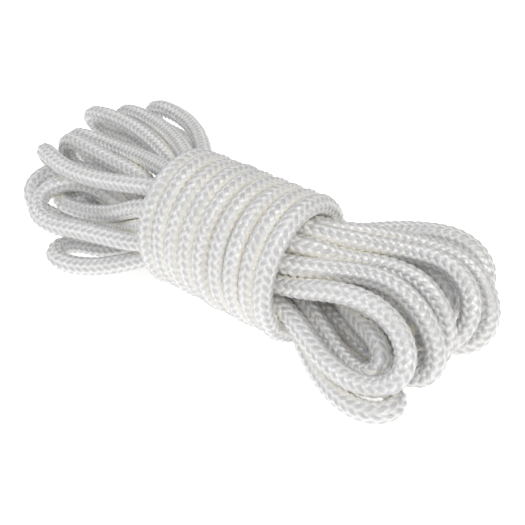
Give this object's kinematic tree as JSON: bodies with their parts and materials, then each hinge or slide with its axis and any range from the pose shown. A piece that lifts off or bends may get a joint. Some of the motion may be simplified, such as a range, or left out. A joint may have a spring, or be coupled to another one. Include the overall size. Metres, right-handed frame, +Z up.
{
  "type": "coiled dock line",
  "caption": "Braided dock line stowed as a hank: turns with bights at both ends, bound round the middle by frapping turns of the same line, with whipped ends tucked in",
  "frame": {"origin": "middle of the underside of the whole hank's box, on the surface that it rests on", "axes": "+X along the hank towards its short, fanned bights, +Y across it towards its far side, +Z up"},
  "size_m": [0.2876, 0.1377, 0.07],
  "materials": {
    "braided_cover": "glossy white filament braid, sixteen strands, two over two",
    "braided_core": "matte white braid",
    "whipping_twine": "waxed white twine, wound tight",
    "melted_seal": "melted rope end, slightly yellowed"
  },
  "bodies": {
    "root": {"standing_end": "braided_cover", "hank_turn_01": "braided_cover", "hank_turn_02": "braided_cover", "hank_turn_03": "braided_cover", "hank_turn_04": "braided_cover", "hank_turn_05": "braided_cover", "hank_turn_06": "braided_cover", "hank_turn_07": "braided_cover", "hank_turn_08": "braided_cover", "hank_turn_09": "braided_cover", "hank_turn_10": "braided_cover", "frapping_turn_01": "braided_cover", "frapping_turn_02": "braided_cover", "frapping_turn_03": "braided_cover", "frapping_turn_04": "braided_cover", "frapping_turn_05": "braided_cover", "frapping_turn_06": "braided_cover", "frapping_turn_07": "braided_cover", "frapping_turn_08": "braided_cover", "frapping_turn_09": "braided_cover", "working_end": "braided_cover", "core": "braided_core", "standing_end_whipping": "whipping_twine", "working_end_whipping": "whipping_twine", "standing_end_seal": "melted_seal", "working_end_seal": "melted_seal"}
  },
  "joints": []
}
